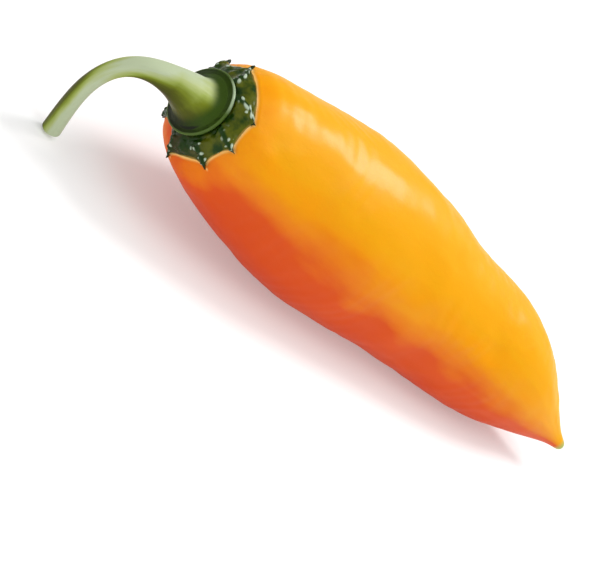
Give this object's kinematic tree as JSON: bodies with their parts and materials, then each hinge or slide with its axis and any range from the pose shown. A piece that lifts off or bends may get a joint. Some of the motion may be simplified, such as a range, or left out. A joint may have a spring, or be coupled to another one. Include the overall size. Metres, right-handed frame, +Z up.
{
  "type": "aji amarillo pepper",
  "caption": "Whole ripe aji amarillo pepper lying on its side: tapering orange pod, toothed green calyx with a collar, and a hooked green stem.",
  "frame": {"origin": "bottom centre of the pepper's box, on the surface that it lies on", "axes": "+X from the stem end to the pod's tip, +Z up"},
  "size_m": [0.1592, 0.04, 0.0392],
  "materials": {
    "ripe_skin": "smooth waxy pepper skin, golden orange shading to red orange, soft gloss",
    "calyx_green": "dark green leathery calyx, ribbed and slightly glossy, with a thin pale margin",
    "stem_green": "light green smooth stalk with a pale bloom, darker olive at its foot"
  },
  "bodies": {
    "root": {"pod": "ripe_skin", "calyx": "calyx_green", "stem": "stem_green"}
  },
  "joints": []
}
